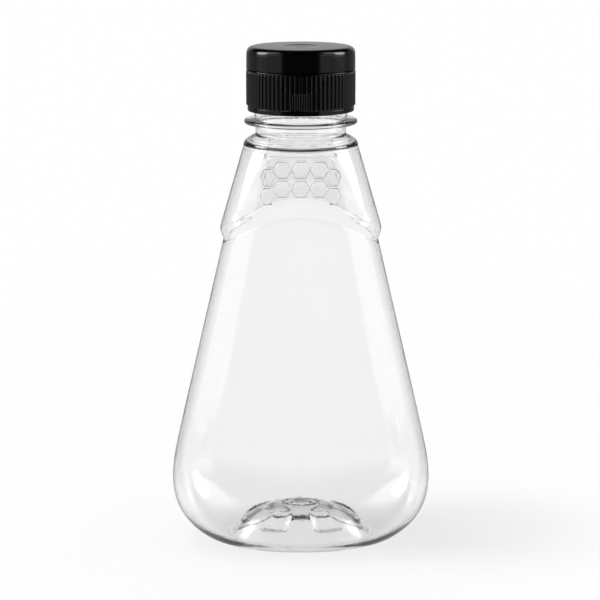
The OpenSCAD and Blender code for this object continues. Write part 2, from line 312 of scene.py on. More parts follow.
def revolve(profile, angles, radius_shift=None):
    """Points of a profile of (r, z) turned about Z; radius_shift[row, column] is added to r."""
    r = np.repeat(profile[:, :1], len(angles), 1)
    if radius_shift is not None:
        r = r + radius_shift
    z = np.repeat(profile[:, 1:], len(angles), 1)
    return np.stack([r * np.cos(angles), r * np.sin(angles), z], -1)


def from_front(angles):
    """Angle away from the front, -Y, either way round."""
    return np.abs(np.mod(angles - 1.5 * math.pi + math.pi, 2 * math.pi) - math.pi)


def thread_height(angles, z, start, turns, depth):
    """Height of a helical ridge of trapezoid section; it starts at start and fades out at both ends."""
    height = np.zeros((len(z), len(angles)))
    total = 2 * math.pi * turns
    for turn in range(3):
        along = angles + 2 * math.pi * turn
        off = np.abs(z[:, None] - (start + LEAD * along / (2 * math.pi))[None, :])
        fade = share(along, 0, THREAD_FADE) * (1 - share(along, total - THREAD_FADE, total))
        height = np.maximum(height, depth * fade * share(-off, -THREAD_ROOT, -THREAD_CREST))
    return height


# ---------------------------------------------------------------- bottle
def soft_min(a, b):
    """Smaller of two values, their crossing rounded over BELLY_BLEND: a hyperbola between two lines."""
    return (a + b - np.sqrt((a - b) ** 2 + BELLY_BLEND**2)) / 2


def belly(z, half, narrow):
    """Half size below the groove: the smooth minimum of the belly and a straight taper to the groove."""
    slope = (narrow - half - BELLY_PROUD) / (GROOVE_Z - BELLY_Z)
    line = half + BELLY_PROUD + slope * (z - BELLY_Z)
    return half + soft_min(half + 0.2, line) - soft_min(half + 0.2, half + BELLY_PROUD)


def outline(z, half, ridge):
    """Half size over height: belly and taper, a crisp groove, a flared ridge, a straight shoulder."""
    narrow = ridge - RIDGE_STEP
    groove = belly(np.array([GROOVE_Z + 2.4]), half, narrow)[0] - GROOVE_CUT
    knots = [
        (GROOVE_Z + 2.2, belly(np.array([GROOVE_Z + 2.2]), half, narrow)[0]),
        (WAIST_Z + 0.1, groove),
        (RIDGE_Z - 0.6, ridge - 0.05),
        (RIDGE_Z + 0.3, ridge),
        (CORNER_Z + 0.2, ridge - 0.35),
        (BODY_H + 2, TOP_HALF - SHOULDER_SLOPE * 2),
    ]
    upper = np.interp(z, [k[0] for k in knots], [k[1] for k in knots])
    return np.where(z < knots[0][0], belly(z, half, narrow), upper)


def smooth_outline(z, half, ridge, reach):
    """The outline averaged over reach each way in height, which rounds its creases."""
    offsets = np.linspace(-reach, reach, 9)
    return sum(outline(z + o, half, ridge) for o in offsets) / len(offsets)


def squareness(z):
    """Power of the section's superellipse: 2 is an ellipse, more is squarer."""
    low = mix(FOOT_SQUARE, BELLY_SQUARE, ease(share(z, 0, BELLY_Z)))
    middle = mix(BELLY_SQUARE, RIDGE_SQUARE, ease(share(z, BELLY_Z, WAIST_Z)))
    high = mix(RIDGE_SQUARE, 2.0, share(z, WAIST_Z, BODY_H) ** 3)
    return np.where(z < BELLY_Z, low, np.where(z < WAIST_Z, middle, high))


def arch_share(z):
    """How much of the arch's lift a height takes: none low down, all at the ridge, none at the collar."""
    rising = ease(share(z, RIDGE_Z - 45, WAIST_Z))
    falling = 1 - ease(share(z, CORNER_Z, BODY_H - 1))
    return np.where(z < RIDGE_Z, rising, falling)


def dome_shares(coarse=False):
    """Shares of the way out from the dome's middle, closer together round the gate."""
    inner, outer = (8, 18) if coarse else (14, 30)
    return np.concatenate([np.linspace(0.03, 0.3, inner), np.linspace(0.3, 1, outer)[1:]])


def dome_height(s):
    """Height of the push-up at a share s of the way out: a flat-topped dome 1 - s^DOME_POWER, a small
    flat nub in the middle and a fine ring round it."""
    dome = (DOME_H - NUB_H) * (1 - s**DOME_POWER)
    nub = NUB_H * (1 - soft_step(s, NUB_REACH, NUB_EDGE))
    ring = GATE_RING_H * np.exp(-(((s - GATE_RING_AT) / GATE_RING_WIDTH) ** 2))
    return dome + nub + ring


def base_wall(near_foot, inset, extra):
    """The inset grown by up to extra towards the standing ring; an outer skin has none to grow."""
    return inset + extra * near_foot * (inset > 0)


def body_rows(inset, coarse=False):
    """Rows of (half width, half depth, squareness, height, arch share), dome's middle to neck."""
    s = dome_shares(coarse)
    thick = base_wall(ease(share(s, 0.5, 0.95)), inset, DOME_EXTRA)
    dome = np.stack([
        s * (FOOT_HALF_WIDTH - FOOT_FLAT),
        s * (FOOT_HALF_DEPTH - FOOT_FLAT),
        np.full_like(s, FOOT_SQUARE),
        dome_height(s) + thick,
        0 * s], -1)
    a = np.linspace(0, math.pi / 2, 13 if coarse else 20)
    thick = base_wall(1 - ease(share(a, 0, 1.0)), inset, HEEL_EXTRA)
    z = mix(thick, BELLY_Z, 1 - np.cos(a))
    heel = np.stack([
        mix(FOOT_HALF_WIDTH, HALF_WIDTH, np.sin(a)) - thick,
        mix(FOOT_HALF_DEPTH, HALF_DEPTH, np.sin(a)) - thick,
        squareness(BELLY_Z * (1 - np.cos(a))),
        z,
        0 * a], -1)
    counts = (16, 22, 34) if coarse else (28, 30, 74)
    edges = (BELLY_Z, GROOVE_Z, CORNER_Z + 1, BODY_H - 0.6)
    z = np.concatenate([np.linspace(lo, hi, n)[1:] for lo, hi, n in zip(edges, edges[1:], counts)])
    reach = 0.6 if coarse else 0.3
    upright = np.stack([
        smooth_outline(z, HALF_WIDTH, RIDGE_HALF_WIDTH, reach) - inset,
        smooth_outline(z, HALF_DEPTH, RIDGE_HALF_DEPTH, reach) - inset,
        squareness(z),
        z,
        arch_share(z)], -1)
    return np.concatenate([dome, heel, upright])


def section_points(rows, angles):
    """Points of |x/w|^n + |y/d|^n = 1 at polar angles, lifted by the arch where x is near 0."""
    w, d, n, z, arch = (rows[:, k : k + 1] for k in range(5))
    c, s = np.cos(angles), np.sin(angles)
    r = (np.abs(c / w) ** n + np.abs(s / d) ** n) ** (-1 / n)
    x, y = r * c, r * s
    lift = ARCH_H * arch * (1 - (x / w) ** 2)
    return np.stack([x, y, z + lift], -1)


def honeycomb(x, z):
    """Height of the honeycomb relief at x across and z up the shoulder: a shallow sunk panel that
    widens downwards and follows the arch, with raised flat-topped hexagonal pads in it."""
    half = mix(PANEL_HALF_TOP, PANEL_HALF_LOW, share(z, PANEL_TOP, PANEL_LOW))
    floor_z = PANEL_FLOOR + ARCH_H * (1 - (x / PANEL_ARCH) ** 2)
    inside = np.minimum(np.minimum(half - np.abs(x), PANEL_TOP - z), z - floor_z)
    past_side = np.maximum(np.abs(x) - half + PANEL_CORNER, 0)
    past_top = np.maximum(z - PANEL_TOP + PANEL_CORNER, 0)
    inside = np.minimum(inside, PANEL_CORNER - np.hypot(past_side, past_top))
    panel = soft_step(inside, 0.0, RELIEF_EDGE)
    pads = np.zeros_like(x)
    apothem = CELL_R * math.sqrt(3) / 2
    for cx, cz, thin in CELLS:
        u, v = thin * np.abs(x - cx), np.abs(z - cz)
        reach = np.maximum(v, v / 2 + u * math.sqrt(3) / 2)
        pads = np.maximum(pads, 1 - soft_step(reach, apothem - 0.1, RELIEF_EDGE))
    return panel * (PAD_H * pads - PANEL_CUT)


def with_relief(points, rows, gain):
    """Moves the shoulder's points along the section's own normal by gain times the honeycomb."""
    w, d, n = (rows[:, k : k + 1] for k in range(3))
    x, y, z = points[..., 0], points[..., 1], points[..., 2]
    nx = np.sign(x) * np.abs(x / w) ** (n - 1) / w
    ny = np.sign(y) * np.abs(y / d) ** (n - 1) / d
    size = np.hypot(nx, ny)
    upright = rows[:, 3:4] > CORNER_Z
    h = gain * honeycomb(x, z) * upright * np.where(y > 0, BACK_RELIEF, 1.0)
    out = points.copy()
    out[..., 0] += h * nx / size
    out[..., 1] += h * ny / size
    return out


def with_petals(points, coarse=False):
    """Presses petals into the dome's slope: a softened square wave round it, faded in over PETAL_START
    and out over PETAL_END."""
    rows = len(dome_shares(coarse))
    x, y = points[:rows, :, 0], points[:rows, :, 1]
    s = dome_shares(coarse)[:, None]
    around = np.arctan2(y / FOOT_HALF_DEPTH, x / FOOT_HALF_WIDTH)
    band = ease(share(s, *PETAL_START)) * (1 - ease(share(s, *PETAL_END)))
    points[:rows, :, 2] -= PETAL_DEPTH * band * soft_step(np.cos(PETAL_COUNT * around), 0.0, PETAL_EDGE)
    return points


def neck_path():
    """Profile of the neck from the shoulder up the outside, over the mouth and down the bore."""
    threads = np.stack([np.full(36, NECK_R), np.linspace(BEAD_Z + 1.4, MOUTH_Z - 0.7, 36)], -1)
    below = rounded_path([
        (TOP_HALF + 0.03, BODY_H - 0.2, 0),
        (TOP_HALF - 0.4, BODY_H + 2.2, 0.9),
        (NECK_R + 1.6, BODY_H + 4.0, 1.4),
        (NECK_R - 0.4, BODY_H + 4.6, 0.5),
        (NECK_R - 0.4, RING_Z - 0.1, 0.4),
        (RING_R - 0.5, RING_Z, 0.4),
        (RING_R, RING_Z + 0.4, 0.35),
        (RING_R, RING_TOP - 0.4, 0.35),
        (RING_R - 0.6, RING_TOP, 0.4),
        (NECK_R, RING_TOP + 0.05, 0.5),
        (NECK_R, BEAD_Z, 0.2),
        (NECK_R + 1.05, BEAD_Z, 0.2),
        (NECK_R + 1.05, BEAD_Z + 0.35, 0.2),
        (NECK_R, BEAD_Z + 1.0, 0.2),
        (NECK_R, BEAD_Z + 1.3, 0)])
    above = rounded_path([
        (NECK_R, MOUTH_Z - 0.6, 0),
        (NECK_R, MOUTH_Z, 0.4),
        (BORE_R, MOUTH_Z, 0.4),
        (BORE_R, BODY_H + 4.6, 1.2),
        (TOP_HALF - 3.1, BODY_H + 2.9, 0.8),
        (TOP_HALF - 2.5, BODY_H + 1.6, 0.4),
        (TOP_HALF - 1.0, BODY_H + 0.9, 0.4),
        (TOP_HALF - WALL + 0.1, BODY_H - 0.4, 0)])
    return below, threads, above


def make_bottle():
    """The body's outer skin, the neck, the bore and the body's inner skin as one closed surface. The
    columns u + sin(2u) / 4 crowd towards the front and the back."""
    u = np.arange(BOTTLE_COLUMNS) / BOTTLE_COLUMNS * 2 * math.pi
    angles = u + 0.25 * np.sin(2 * u)
    rows = body_rows(0.0)
    outer = with_relief(section_points(rows, angles), rows, 1.0)
    outer = with_petals(outer)
    inner_rows = body_rows(WALL, coarse=True)
    inner = with_relief(section_points(inner_rows, angles), inner_rows, INNER_RELIEF)
    inner = with_petals(inner, coarse=True)[::-1]
    below, threads, above = neck_path()
    ridge = thread_height(angles, threads[:, 1], MALE_Z, NECK_TURNS, THREAD_DEPTH)
    points = np.concatenate([outer, revolve(below, angles), revolve(threads, angles, ridge),
                             revolve(above, angles), inner])
    return grid_object("bottle_shell", points,
                       start_pole=[[0, 0, DOME_H]], end_pole=[[0, 0, DOME_H + WALL]])


# ---------------------------------------------------------------- closure
def make_flip_lid():
    """Lid: a revolved shell with a rounded top edge, a sunk disc, a plug inside and a shallow front
    facet, which is pressed in by FACET_CUT times a soft step of the angle from the front."""
    cols = 240
    angles = np.arange(cols) / cols * 2 * math.pi
    outside = rounded_path([
        (CAVITY_R, LID_Z, 0.2),
        (CAVITY_R + 0.3, LID_Z, 0.1),
        (LID_R - 0.25, LID_Z, 0.1),
        (LID_R, LID_Z + 0.25, 0.2),
        (LID_R - 0.02, LID_Z + 1.2, 0),
        (LID_R - 0.1, TOP_Z, LID_ROUND_REACH),
        (RECESS_R + 0.8, TOP_Z, 0.6),
        (RECESS_R - 0.6, TOP_Z - RECESS_CUT, 0.6),
        (RECESS_R - 1.9, TOP_Z - RECESS_CUT, 0)], steps=9)
    centre = np.stack([np.array([3.2, 2.4, 1.6, 0.7]), np.full(4, TOP_Z - RECESS_CUT)], -1)
    centre[:, 1] += np.array([0.0, 0.02, 0.12, DIMPLE_H])
    inside = rounded_path([
        (0.5, SPOUT_TOP - 0.2, 0),
        (PLUG_R - 1.4, SPOUT_TOP - 0.8, 0.5),
        (PLUG_R - 0.3, SPOUT_TOP - 0.8, 0.2),
        (PLUG_R, SPOUT_TOP - 0.4, 0.2),
        (PLUG_R, CEILING_Z, 0.5),
        (SPOUT_OUT + 1.2, CEILING_Z, 0.2),
        (SPOUT_OUT + 1.2, CEILING_Z - 0.7, 0.2),
        (SPOUT_OUT + 2.0, CEILING_Z - 0.7, 0.2),
        (SPOUT_OUT + 2.0, CEILING_Z, 0.3),
        (CAVITY_R - 0.02, CEILING_Z, 1.2),
        (CAVITY_R, LID_Z + 1.2, 0),
        (CAVITY_R, LID_Z + 0.4, 0)])
    profile = np.concatenate([outside[1:], centre])
    facet = 1 - soft_step(from_front(angles), FACET_ANGLE, FACET_EDGE)
    z = profile[:, 1:]
    side = (profile[:, :1] > LID_R - 0.6) * (1 - soft_step(z, TOP_Z - LID_ROUND - 0.4, 0.8))
    shift = -FACET_CUT * side * facet[None, :]
    top = revolve(profile, angles, shift)
    return grid_object("flip_lid_shell", np.concatenate([revolve(inside, angles), top]),
                       start_pole=[[0, 0, SPOUT_TOP - 0.2]],
                       end_pole=[[0, 0, TOP_Z - RECESS_CUT + DIMPLE_H]])


def rib_height(angles):
    """Rib height round the skirt: a flat-topped wave, RIB_COUNT to the turn."""
    wave = np.cos(RIB_COUNT * angles)
    return RIB_H * ease(share(wave, -0.55, 0.35))


def make_closure_base():
    """Ribbed skirt, roof, rim, spout and valve pocket as one closed ring of profile, with the ribs, the
    thumb scoop and the inner thread as shifts of its radius."""
    cols = RIB_COUNT * 8
    angles = (np.arange(cols) + 0.5) / cols * 2 * math.pi
    rib_low = SKIRT_Z + 0.25
    rib_top = LEDGE_Z - 0.55
    steps = np.concatenate([
        [rib_low - 0.02], rib_low + np.array([0.1, 0.3, 0.5]),
        np.linspace(SKIRT_Z + 2, rib_top - 0.5, 22),
        rib_top - np.array([0.3, 0.12, 0.0])])
    ribs = np.stack([np.full_like(steps, SKIRT_R), steps], -1)
    top = rounded_path([
        (SKIRT_R, rib_top + 0.02, 0),
        (CLOSURE_R - 0.12, rib_top + 0.06, 0.08),
        (CLOSURE_R - 0.02, rib_top + 0.22, 0.1),
        (CLOSURE_R - 0.05, LEDGE_Z, 0.18),
        (CAVITY_R - 0.35, LEDGE_Z, 0.15),
        (CAVITY_R - 0.5, LEDGE_Z + 1.2, 0.3),
        (CAVITY_R - 1.5, LEDGE_Z + 1.2, 0.3),
        (CAVITY_R - 1.7, LEDGE_Z, 0.3),
        (SPOUT_OUT + 0.4, LEDGE_Z, 0.6),
        (SPOUT_OUT, LEDGE_Z + 1.0, 0.2),
        (SPOUT_OUT - 0.2, SPOUT_TOP - 0.4, 0.3),
        (SPOUT_OUT - 0.9, SPOUT_TOP, 0.4),
        (SPOUT_R + 0.7, SPOUT_TOP, 0.3),
        (SPOUT_R, SPOUT_TOP - 0.7, 0.4),
        (SPOUT_R, valve_high[2] + 0.05, 0.1),
        (POCKET_R, valve_high[2] + 0.05, 0.1),
        (POCKET_R, ROOF_Z, 0.1),
        (SKIRT_IN, ROOF_Z, 0.5),
        (SKIRT_IN, ROOF_Z - 1.0, 0)], steps=4)
    female_z = MALE_Z - LEAD / 2
    inner_z = np.linspace(female_z + FEMALE_TURNS * LEAD + 1.2, SKIRT_Z + 0.3, 34)
    inner = np.stack([np.full_like(inner_z, SKIRT_IN), inner_z], -1)
    foot = rounded_path([
        (SKIRT_IN, SKIRT_Z + 0.2, 0),
        (SKIRT_IN, SKIRT_Z, 0.1),
        (SKIRT_R - 0.1, SKIRT_Z, 0.1),
        (SKIRT_R - 0.05, rib_low - 0.06, 0)])
    across = from_front(angles) * CLOSURE_R
    scoop_edge = np.hypot(across[None, :], steps[:, None] - (LEDGE_Z + SCOOP_UP)) - SCOOP_R
    scoop = 1 - soft_step(scoop_edge, 0.0, SCOOP_EDGE)
    ends = soft_step(steps, rib_low + 0.15, 0.4) * (1 - soft_step(steps, rib_top - 0.1, 0.3))
    rib_shift = ends[:, None] * rib_height(angles)[None, :] * (1 - SCOOP_SHARE * scoop)
    thread = thread_height(angles, inner_z, female_z, FEMALE_TURNS, FEMALE_DEPTH)
    points = np.concatenate([revolve(ribs, angles, rib_shift), revolve(top, angles),
                             revolve(inner, angles, -thread), revolve(foot, angles)])
    return grid_object("closure_skirt", points, ring=True)


def make_tamper_band():
    """Band: a closed ring of profile whose top edge rises into short break-away bridges."""
    cols = 240
    angles = np.arange(cols) / cols * 2 * math.pi
    low, high = band_low[2], SKIRT_Z - 0.06
    lip_r = NECK_R + 0.4
    profile = rounded_path([
        (BAND_R - 0.2, low, 0.1),
        (BAND_R, low + 0.2, 0.1),
        (BAND_R, high - 0.15, 0.1),
        (BAND_R - 0.15, high, 0.1),
        (SKIRT_IN - 0.05, high, 0.1),
        (SKIRT_IN - 0.1, high - 0.2, 0.1),
        (SKIRT_IN - 0.1, low + 0.65, 0.2),
        (lip_r + 0.1, low + 0.5, 0.1),
        (lip_r, low + 0.1, 0.1),
        (lip_r + 0.2, low, 0.1),
        (BAND_R - 0.4, low, 0)], steps=4)
    points = revolve(profile, angles)
    bridge = soft_step(np.cos(BRIDGE_COUNT * angles), 0.93, 0.06)
    on_top = (profile[:, 1] > high - 0.06)[:, None] & (profile[:, 0] < BAND_R - 0.1)[:, None]
    points[..., 2] += BRIDGE_H * bridge[None, :] * on_top
    return grid_object("tamper_ring", points, ring=True)


def make_hinge():
    """Living hinge: a strap with rounded ends, thinned to a film across the parting line. Above and below
    it the front face follows the round lid and skirt. Each cross-section is a rounded rectangle."""
    z = np.concatenate([
        [hinge_low[2]], hinge_low[2] + np.array([0.08, 0.25]),
        np.linspace(hinge_low[2] + 0.5, hinge_high[2] - 0.5, 23),
        hinge_high[2] - np.array([0.25, 0.08]), [hinge_high[2]]])
    end = 1 - ease(share(np.minimum(z - z[0], z[-1] - z), 0, 0.4))
    film = np.exp(-(((z - HINGE_MID) / FILM_HALF) ** 2))
    back = HINGE_OUT - 0.12 * end - 0.14 * film
    near_film = np.exp(-(((z - HINGE_MID) / FREE_HALF) ** 4))
    half = HINGE_HALF - 0.35 * end - 0.5 * film
    a = np.arange(40) / 40 * 2 * math.pi
    sx = np.sign(np.cos(a)) * np.abs(np.cos(a)) ** 0.25
    sy = np.sign(np.sin(a)) * np.abs(np.sin(a)) ** 0.25
    x = half[:, None] * sx[None, :]
    round_face = np.sqrt((SKIRT_R - 0.25) ** 2 - x**2)
    front = mix(round_face, HINGE_IN + 0.02 + 0.1 * film[:, None], near_film[:, None])
    y = (back[:, None] + front) / 2 + (back[:, None] - front) / 2 * sy[None, :]
    points = np.stack([x, y, np.repeat(z[:, None], len(a), 1)], -1)
    mid = (HINGE_IN + HINGE_OUT) / 2
    return grid_object("hinge_strap", points, start_pole=[[0, mid, z[0]]], end_pole=[[0, mid, z[-1]]])


# ---------------------------------------------------------------- materials
def new_material(name):
    mat = bpy.data.materials.new(name)
    mat.use_nodes = True
    nt = mat.node_tree
    nt.nodes.clear()
    out = nt.nodes.new("ShaderNodeOutputMaterial")
    shader = nt.nodes.new("ShaderNodeBsdfPrincipled")
    nt.links.new(shader.outputs[0], out.inputs["Surface"])
    return mat, nt, shader, out


def add_steps(nt, value, stops):
    """A piecewise smooth function of value through stops of (value, result)."""
    total = None
    for (x0, y0), (x1, y1) in zip(stops, stops[1:]):
        node = nt.nodes.new("ShaderNodeMapRange")
        node.interpolation_type = "SMOOTHSTEP"
        node.inputs["From Min"].default_value = x0
        node.inputs["From Max"].default_value = x1
        node.inputs["To Min"].default_value = y0 if total is None else 0.0
        node.inputs["To Max"].default_value = y1 if total is None else y1 - y0
        nt.links.new(value, node.inputs["Value"])
        step = node.outputs["Result"]
        total = step if total is None else add_math(nt, "ADD", total, step)
    return total


def add_math(nt, operation, a, b):
    node = nt.nodes.new("ShaderNodeMath")
    node.operation = operation
    for socket, value in zip(node.inputs, (a, b)):
        if isinstance(value, (int, float)):
            socket.default_value = value
        else:
            nt.links.new(value, socket)
    return node.outputs[0]


def add_vector(nt, operation, a, b=(0, 0, 0)):
    node = nt.nodes.new("ShaderNodeVectorMath")
    node.operation = operation
    nt.links.new(a, node.inputs[0])
    node.inputs[1].default_value = b
    return node.outputs["Value" if operation == "DOT_PRODUCT" else "Vector"]


def grain_group():
    """Moulded-plastic surface: a soft cloud, a fine speckle and a height that joins them."""
    group = bpy.data.node_groups.new("moulded_surface", "ShaderNodeTree")
    face = group.interface
    for name, default in (("Cloud scale", 120.0), ("Grain scale", 2600.0), ("Grain share", 0.5)):
        socket = face.new_socket(name, in_out="INPUT", socket_type="NodeSocketFloat")
        socket.default_value = default
    for name in ("Cloud", "Speckle", "Height"):
        face.new_socket(name, in_out="OUTPUT", socket_type="NodeSocketFloat")
    nodes, links = group.nodes, group.links
    into = nodes.new("NodeGroupInput")
    out = nodes.new("NodeGroupOutput")
    coord = nodes.new("ShaderNodeTexCoord")
    cloud = nodes.new("ShaderNodeTexNoise")
    cloud.inputs["Detail"].default_value = 3.0
    grain = nodes.new("ShaderNodeTexNoise")
    grain.inputs["Detail"].default_value = 2.0
    grain.inputs["Roughness"].default_value = 0.7
    for tex, scale in ((cloud, "Cloud scale"), (grain, "Grain scale")):
        links.new(coord.outputs["Object"], tex.inputs["Vector"])
        links.new(into.outputs[scale], tex.inputs["Scale"])
    speck = nodes.new("ShaderNodeMapRange")
    speck.inputs["From Min"].default_value = 0.35
    speck.inputs["From Max"].default_value = 0.65
    links.new(grain.outputs["Fac"], speck.inputs["Value"])
    join = nodes.new("ShaderNodeMix")
    join.data_type = "FLOAT"
    links.new(into.outputs["Grain share"], join.inputs["Factor"])
    links.new(cloud.outputs["Fac"], join.inputs["A"])
    links.new(speck.outputs["Result"], join.inputs["B"])
    links.new(cloud.outputs["Fac"], out.inputs["Cloud"])
    links.new(speck.outputs["Result"], out.inputs["Speckle"])
    links.new(join.outputs["Result"], out.inputs["Height"])
    return group


def add_surface(nt, group, cloud, grain, grain_share):
    node = nt.nodes.new("ShaderNodeGroup")
    node.node_tree = group
    node.inputs["Cloud scale"].default_value = cloud
    node.inputs["Grain scale"].default_value = grain
    node.inputs["Grain share"].default_value = grain_share
    return node


def add_range(nt, value, low, high):
    """Stretches a value of 0 to 1 to low to high."""
    node = nt.nodes.new("ShaderNodeMapRange")
    node.inputs["To Min"].default_value = low
    node.inputs["To Max"].default_value = high
    nt.links.new(value, node.inputs["Value"])
    return node.outputs["Result"]


def add_bump(nt, height, shader, strength, distance):
    bump = nt.nodes.new("ShaderNodeBump")
    bump.inputs["Strength"].default_value = strength
    bump.inputs["Distance"].default_value = distance
    nt.links.new(height, bump.inputs["Height"])
    nt.links.new(bump.outputs["Normal"], shader.inputs["Normal"])


def add_colour_mix(nt, factor, a, b):
    node = nt.nodes.new("ShaderNodeMix")
    node.data_type = "RGBA"
    node.inputs["A"].default_value = (*a, 1)
    node.inputs["B"].default_value = (*b, 1)
    nt.links.new(factor, node.inputs["Factor"])
    return node.outputs["Result"]


def black_polypropylene(group):
    """Moulded black plastic: near-black with a faint cloud, a fine speckle in gloss and height."""
    mat, nt, shader, _ = new_material("black_polypropylene")
    surface = add_surface(nt, group, 90.0, 2400.0, 0.75)
    colour = add_colour_mix(nt, surface.outputs["Cloud"], BLACK_DARK, BLACK_LIGHT)
    nt.links.new(colour, shader.inputs["Base Color"])
    nt.links.new(add_range(nt, surface.outputs["Speckle"], *BLACK_ROUGH), shader.inputs["Roughness"])
    shader.inputs["Specular IOR Level"].default_value = 0.45
    add_bump(nt, surface.outputs["Height"], shader, 0.1, 0.00003)
    return mat


def hex_edges_group():
    """Honeycomb masks. Pad is 1 inside a hexagon of the columns in HEX_COLUMNS and falls to 0 across a
    narrow bevel: a hexagon's reach is the larger of |v| and |v| / 2 + |u| 0.866. Panel is 1 inside the
    window that the pads sit in."""
    group = bpy.data.node_groups.new("honeycomb_pads", "ShaderNodeTree")
    group.interface.new_socket("Place", in_out="INPUT", socket_type="NodeSocketVector")
    for name in ("Pad", "Panel"):
        group.interface.new_socket(name, in_out="OUTPUT", socket_type="NodeSocketFloat")
    into = group.nodes.new("NodeGroupInput")
    out = group.nodes.new("NodeGroupOutput")
    split = group.nodes.new("ShaderNodeSeparateXYZ")
    group.links.new(into.outputs["Place"], split.inputs[0])
    z = split.outputs["Z"]

    def maths(operation, a, b=0.0):
        return add_math(group, operation, a, b)

    def distance(value, centre):
        return maths("ABSOLUTE", maths("SUBTRACT", value, centre * MM))

    x = maths("ABSOLUTE", split.outputs["X"])
    least = None
    for centre, middle, thin in HEX_COLUMNS:
        u = maths("MULTIPLY", distance(x, centre), thin)
        v = distance(distance(z, middle), HEX_HALF_PITCH)
        slant = maths("ADD", maths("MULTIPLY", v, 0.5), maths("MULTIPLY", u, 0.866))
        reach = maths("MAXIMUM", v, slant)
        least = reach if least is None else maths("MINIMUM", least, reach)
    apothem = CELL_R * 0.866 * MM
    pad = add_steps(group, least, ((apothem - 0.34 * MM, 1.0), (apothem + 0.06 * MM, 0.0)))
    group.links.new(pad, out.inputs["Pad"])

    below = maths("SUBTRACT", PANEL_TOP * MM, z)
    spread = (PANEL_HALF_LOW - PANEL_HALF_TOP) / (PANEL_TOP - PANEL_LOW)
    half = maths("ADD", maths("MULTIPLY", below, spread), PANEL_HALF_TOP * MM)
    bend = maths("MULTIPLY", maths("MULTIPLY", x, x), ARCH_H / PANEL_ARCH**2 / MM)
    above = maths("ADD", z, maths("SUBTRACT", bend, (PANEL_FLOOR + ARCH_H) * MM))
    inside = maths("MINIMUM", maths("SUBTRACT", half, x), maths("MINIMUM", below, above))
    panel = add_steps(group, inside, ((0.0, 0.0), (0.4 * MM, 1.0)))
    group.links.new(panel, out.inputs["Panel"])
    return group


def clear_pet(group):
    """Blow-moulded clear PET: refracting and neutral, with painted shade that makes it a little greyer in
    the honeycomb window, and slow ripples in the wall. Shadow rays and diffuse rays pass straight through,
    a little dimmed."""
    mat, nt, shader, out = new_material("clear_pet")
    shader.inputs["Transmission Weight"].default_value = 1.0
    shader.inputs["IOR"].default_value = PET_IOR
    surface = add_surface(nt, group, 55.0, 700.0, 0.06)
    nt.links.new(add_range(nt, surface.outputs["Speckle"], *PET_ROUGH), shader.inputs["Roughness"])
    pads = nt.nodes.new("ShaderNodeGroup")
    pads.node_tree = hex_edges_group()
    nt.links.new(nt.nodes.new("ShaderNodeTexCoord").outputs["Object"], pads.inputs["Place"])
    # Painted shade: the honeycomb window's colour is mixed towards a grey that stands in for the darker
    # reflections it shows
    tint_and_panel_shade = add_colour_mix(nt, pads.outputs["Panel"], PET_TINT, PET_PANEL_PAINTED_SHADE)
    nt.links.new(tint_and_panel_shade, shader.inputs["Base Color"])
    ripple = add_math(nt, "MULTIPLY", surface.outputs["Height"], RIPPLE_SHARE)
    edges = add_math(nt, "MULTIPLY", pads.outputs["Pad"], PAD_SHARE)
    sunk = add_math(nt, "SUBTRACT", edges, add_math(nt, "MULTIPLY", pads.outputs["Panel"], PANEL_SHARE))
    add_bump(nt, add_math(nt, "ADD", ripple, sunk), shader, 1.0, PET_BUMP)
    clear = nt.nodes.new("ShaderNodeBsdfTransparent")
    clear.inputs["Color"].default_value = PET_PASS
    path = nt.nodes.new("ShaderNodeLightPath")
    straight = add_math(nt, "MAXIMUM", path.outputs["Is Shadow Ray"], path.outputs["Is Diffuse Ray"])
    join = nt.nodes.new("ShaderNodeMixShader")
    nt.links.new(straight, join.inputs[0])
    nt.links.new(shader.outputs[0], join.inputs[1])
    nt.links.new(clear.outputs[0], join.inputs[2])
    nt.links.new(join.outputs[0], out.inputs["Surface"])
    body = nt.nodes.new("ShaderNodeVolumeAbsorption")
    body.inputs["Color"].default_value = PET_ABSORBS
    body.inputs["Density"].default_value = PET_DENSITY
    nt.links.new(body.outputs[0], out.inputs["Volume"])
    return mat


def foil(group):
    """Foil-faced liner: bright metal with a fine crinkle."""
    mat, nt, shader, _ = new_material("foil_liner")
    surface = add_surface(nt, group, 300.0, 1500.0, 0.4)
    colour = add_colour_mix(nt, surface.outputs["Cloud"], FOIL_DARK, FOIL_LIGHT)
    nt.links.new(colour, shader.inputs["Base Color"])
    shader.inputs["Metallic"].default_value = 1.0
    nt.links.new(add_range(nt, surface.outputs["Cloud"], *FOIL_ROUGH), shader.inputs["Roughness"])
    add_bump(nt, surface.outputs["Height"], shader, 0.3, 0.0001)
    return mat


def silicone(group):
    """Translucent white silicone with a matt skin."""
    mat, nt, shader, _ = new_material("silicone")
    surface = add_surface(nt, group, 260.0, 3000.0, 0.5)
    colour = add_colour_mix(nt, surface.outputs["Cloud"], SILICONE_DARK, SILICONE_LIGHT)
    nt.links.new(colour, shader.inputs["Base Color"])
    nt.links.new(add_range(nt, surface.outputs["Speckle"], *SILICONE_ROUGH), shader.inputs["Roughness"])
    shader.inputs["Subsurface Weight"].default_value = 0.35
    shader.inputs["Subsurface Scale"].default_value = 0.002
    add_bump(nt, surface.outputs["Height"], shader, 0.15, 0.00005)
    return mat


def paint(obj, mat):
    obj.data.materials.clear()
    obj.data.materials.append(mat)


# ---------------------------------------------------------------- the object
surface_group = grain_group()
black = black_polypropylene(surface_group)
pet = clear_pet(surface_group)

bottle = make_bottle()
paint(bottle, pet)
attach(bottle, "bottle_body")
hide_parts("bottle")

lid = make_flip_lid()
skirt = make_closure_base()
ring = make_tamper_band()
for piece, body, node in (
        (lid, "lid", "flip_lid"), (skirt, "closure", "closure_base"), (ring, "band", "tamper_band")):
    paint(piece, black)
    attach(piece, body)
    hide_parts(node)

